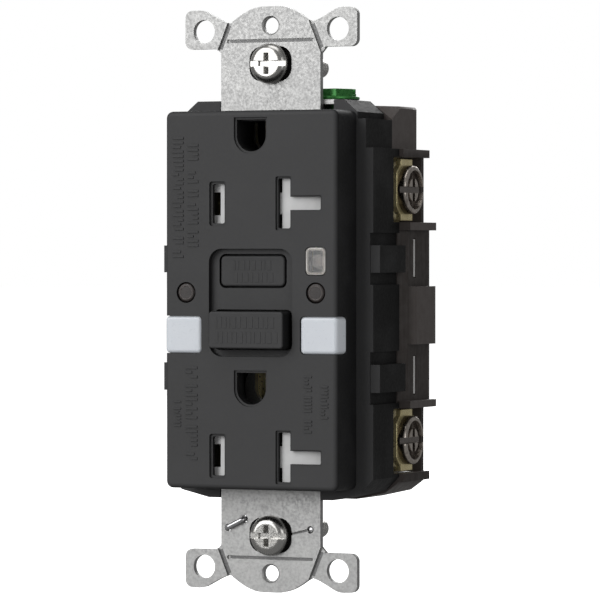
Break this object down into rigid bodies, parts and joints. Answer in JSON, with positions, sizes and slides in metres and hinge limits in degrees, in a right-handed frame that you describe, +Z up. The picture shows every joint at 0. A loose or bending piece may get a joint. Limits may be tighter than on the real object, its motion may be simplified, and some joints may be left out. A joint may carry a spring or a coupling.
{
  "type": "gfci outlet",
  "caption": "Ground-fault duplex wall outlet with test and reset buttons, corner night lights, side terminals and a steel mounting strap.",
  "frame": {"origin": "midway between the two wall-plate screw holes, and between the two box screws, on the rear face of the mounting strap", "axes": "+Z up, along the strap; -Y out of the wall, towards the user; +X to the user's right"},
  "size_m": [0.044, 0.0341, 0.1036],
  "materials": {
    "blue_component": "dipped resin",
    "board": "green solder mask",
    "brass": "stamped sheet",
    "clear_lens": "clear, polished",
    "component": "moulded component body",
    "copper": "enamelled copper",
    "dark_screw_steel": "plated, slightly dulled",
    "face_plastic": "fine matt moulded",
    "ferrite": "ground ferrite",
    "fibre": "pressed fibre",
    "green_steel": "green chromate",
    "inner_plastic": "plain moulded",
    "lamp": "lamp body",
    "nickel_steel": "bright plated, turned",
    "rear_plastic": "satin moulded",
    "shutter_plastic": "smooth moulded",
    "spring_steel": "drawn wire",
    "status_lens": "smoked, glossy",
    "white_lens": "milky, glossy",
    "zinc_steel": "zinc plated sheet"
  },
  "bodies": {
    "base": {"board_chips": "component", "capacitor": "component", "circuit_board": "board", "front_cover": "face_plastic", "ground_clip": "spring_steel", "ground_contacts": "brass", "ground_terminal": "zinc_steel", "hot_bus": "brass", "housing_screws": "dark_screw_steel", "lamp_boards": "board", "lamps": "lamp", "line_conductors": "copper", "line_hot_terminal": "brass", "line_neutral_terminal": "brass", "mid_housing": "inner_plastic", "mounting_strap": "zinc_steel", "neutral_bus": "brass", "night_light_lenses": "white_lens", "rear_cover": "rear_plastic", "reset_spring": "spring_steel", "screw_retainers": "fibre", "sensor_window": "clear_lens", "shutter_springs_lower": "spring_steel", "shutter_springs_upper": "spring_steel", "shutter_trays": "inner_plastic", "solenoid_bobbin": "inner_plastic", "solenoid_coil": "copper", "solenoid_yoke": "spring_steel", "status_lenses": "status_lens", "strap_rivets": "spring_steel", "test_contact": "brass", "test_spring": "spring_steel", "transformer_cores": "ferrite", "transformer_housing": "inner_plastic", "varistor": "blue_component"},
    "test_button": {"test_button": "face_plastic"},
    "reset_button": {"reset_button": "face_plastic", "reset_pin": "nickel_steel"},
    "carriage": {"carriage": "inner_plastic"},
    "latch_plate": {"latch_plate": "spring_steel"},
    "plunger": {"plunger": "nickel_steel"},
    "contact_arm_hot": {"contact_arm_hot": "brass"},
    "contact_arm_neutral": {"contact_arm_neutral": "brass"},
    "ground_screw": {"ground_screw": "green_steel"},
    "box_screw_top": {"box_screw_top": "nickel_steel"},
    "box_screw_bottom": {"box_screw_bottom": "nickel_steel"},
    "hot_shutter_upper": {"hot_shutter_upper": "shutter_plastic"},
    "neutral_shutter_upper": {"neutral_shutter_upper": "shutter_plastic"},
    "hot_shutter_lower": {"hot_shutter_lower": "shutter_plastic"},
    "neutral_shutter_lower": {"neutral_shutter_lower": "shutter_plastic"},
    "pressure_plate_line_hot": {"pressure_plate_line_hot": "brass"},
    "terminal_screw_line_hot": {"terminal_screw_line_hot": "dark_screw_steel"},
    "pressure_plate_line_neutral": {"pressure_plate_line_neutral": "brass"},
    "terminal_screw_line_neutral": {"terminal_screw_line_neutral": "dark_screw_steel"},
    "pressure_plate_load_hot": {"pressure_plate_load_hot": "brass"},
    "terminal_screw_load_hot": {"terminal_screw_load_hot": "dark_screw_steel"},
    "pressure_plate_load_neutral": {"pressure_plate_load_neutral": "brass"},
    "terminal_screw_load_neutral": {"terminal_screw_load_neutral": "dark_screw_steel"}
  },
  "joints": [
    {"name": "test_press", "type": "slide", "parent": "base", "child": "test_button", "axis": [0, 1, 0], "range_m": [0, 0.0013], "stiffness_N_per_m": 600, "springref_m": -0.0006, "deforming": ["test_spring"]},
    {"name": "reset_press", "type": "slide", "parent": "base", "child": "reset_button", "axis": [0, 1, 0], "range_m": [0, 0.003], "stiffness_N_per_m": 350, "springref_m": -0.001, "deforming": ["reset_spring"]},
    {"name": "hot_shutter_upper_slide", "type": "slide", "parent": "base", "child": "hot_shutter_upper", "axis": [-1, 0, 0], "range_m": [0, 0.004], "stiffness_N_per_m": 60, "springref_m": -0.001, "deforming": ["shutter_springs_upper"]},
    {"name": "neutral_shutter_upper_slide", "type": "slide", "parent": "base", "child": "neutral_shutter_upper", "axis": [-1, 0, 0], "range_m": [0, 0.0087], "stiffness_N_per_m": 40, "springref_m": -0.001, "deforming": ["shutter_springs_upper"]},
    {"name": "hot_shutter_lower_slide", "type": "slide", "parent": "base", "child": "hot_shutter_lower", "axis": [-1, 0, 0], "range_m": [0, 0.004], "stiffness_N_per_m": 60, "springref_m": -0.001, "deforming": ["shutter_springs_lower"]},
    {"name": "neutral_shutter_lower_slide", "type": "slide", "parent": "base", "child": "neutral_shutter_lower", "axis": [-1, 0, 0], "range_m": [0, 0.0087], "stiffness_N_per_m": 40, "springref_m": -0.001, "deforming": ["shutter_springs_lower"]},
    {"name": "carriage_lift", "type": "slide", "parent": "base", "child": "carriage", "axis": [0, -1, 0], "range_m": [0, 0.0014], "stiffness_N_per_m": 250, "springref_m": -0.0005},
    {"name": "contact_arm_hot_close", "type": "hinge", "parent": "base", "child": "contact_arm_hot", "pos_m": [-0.011, 0.01655, 0.0108], "axis": [-1, 0, 0], "range_deg": [0, 4.95]},
    {"name": "contact_arm_neutral_close", "type": "hinge", "parent": "base", "child": "contact_arm_neutral", "pos_m": [0.011, 0.01655, 0.0108], "axis": [-1, 0, 0], "range_deg": [0, 4.95]},
    {"name": "plunger_slide", "type": "slide", "parent": "base", "child": "plunger", "axis": [0, 0, -1], "range_m": [0, 0.0012], "stiffness_N_per_m": 120, "springref_m": -0.0006},
    {"name": "latch_slide", "type": "slide", "parent": "carriage", "child": "latch_plate", "axis": [0, 0, -1], "range_m": [0, 0.0012]},
    {"name": "pressure_plate_line_hot_slide", "type": "slide", "parent": "base", "child": "pressure_plate_line_hot", "axis": [1, 0, 0], "range_m": [0, 0.00238]},
    {"name": "terminal_screw_line_hot_turn", "type": "hinge", "parent": "pressure_plate_line_hot", "child": "terminal_screw_line_hot", "pos_m": [-0.0185, 0.0152, 0.0195], "axis": [1, 0, 0], "range_deg": [0, 1080.3]},
    {"name": "pressure_plate_line_neutral_slide", "type": "slide", "parent": "base", "child": "pressure_plate_line_neutral", "axis": [-1, 0, 0], "range_m": [0, 0.00238]},
    {"name": "terminal_screw_line_neutral_turn", "type": "hinge", "parent": "pressure_plate_line_neutral", "child": "terminal_screw_line_neutral", "pos_m": [0.0185, 0.0152, 0.0195], "axis": [-1, 0, 0], "range_deg": [0, 1080.3]},
    {"name": "pressure_plate_load_hot_slide", "type": "slide", "parent": "base", "child": "pressure_plate_load_hot", "axis": [1, 0, 0], "range_m": [0, 0.00238]},
    {"name": "terminal_screw_load_hot_turn", "type": "hinge", "parent": "pressure_plate_load_hot", "child": "terminal_screw_load_hot", "pos_m": [-0.0185, 0.0152, -0.0251], "axis": [1, 0, 0], "range_deg": [0, 1080.3]},
    {"name": "pressure_plate_load_neutral_slide", "type": "slide", "parent": "base", "child": "pressure_plate_load_neutral", "axis": [-1, 0, 0], "range_m": [0, 0.00238]},
    {"name": "terminal_screw_load_neutral_turn", "type": "hinge", "parent": "pressure_plate_load_neutral", "child": "terminal_screw_load_neutral", "pos_m": [0.0185, 0.0152, -0.0251], "axis": [-1, 0, 0], "range_deg": [0, 1080.3]},
    {"name": "ground_screw_turn", "type": "hinge", "parent": "base", "child": "ground_screw", "pos_m": [0.0092, 0.0055, 0.0354], "axis": [0, 0, -1], "continuous": true},
    {"name": "box_screw_top_turn", "type": "hinge", "parent": "base", "child": "box_screw_top", "pos_m": [0, 0, 0.04167], "axis": [0, 1, 0], "continuous": true},
    {"name": "box_screw_bottom_turn", "type": "hinge", "parent": "base", "child": "box_screw_bottom", "pos_m": [0, 0, -0.04167], "axis": [0, 1, 0], "continuous": true}
  ],
  "couplings": [
    {"joint": "contact_arm_hot_close", "follows": "carriage_lift", "rad_per_m": 61.585},
    {"joint": "contact_arm_neutral_close", "follows": "carriage_lift", "rad_per_m": 61.585},
    {"joint": "latch_slide", "follows": "plunger_slide", "ratio": 1},
    {"joint": "terminal_screw_line_hot_turn", "follows": "pressure_plate_line_hot_slide", "rad_per_m": 7913.3},
    {"joint": "terminal_screw_line_neutral_turn", "follows": "pressure_plate_line_neutral_slide", "rad_per_m": 7913.3},
    {"joint": "terminal_screw_load_hot_turn", "follows": "pressure_plate_load_hot_slide", "rad_per_m": 7913.3},
    {"joint": "terminal_screw_load_neutral_turn", "follows": "pressure_plate_load_neutral_slide", "rad_per_m": 7913.3}
  ]
}
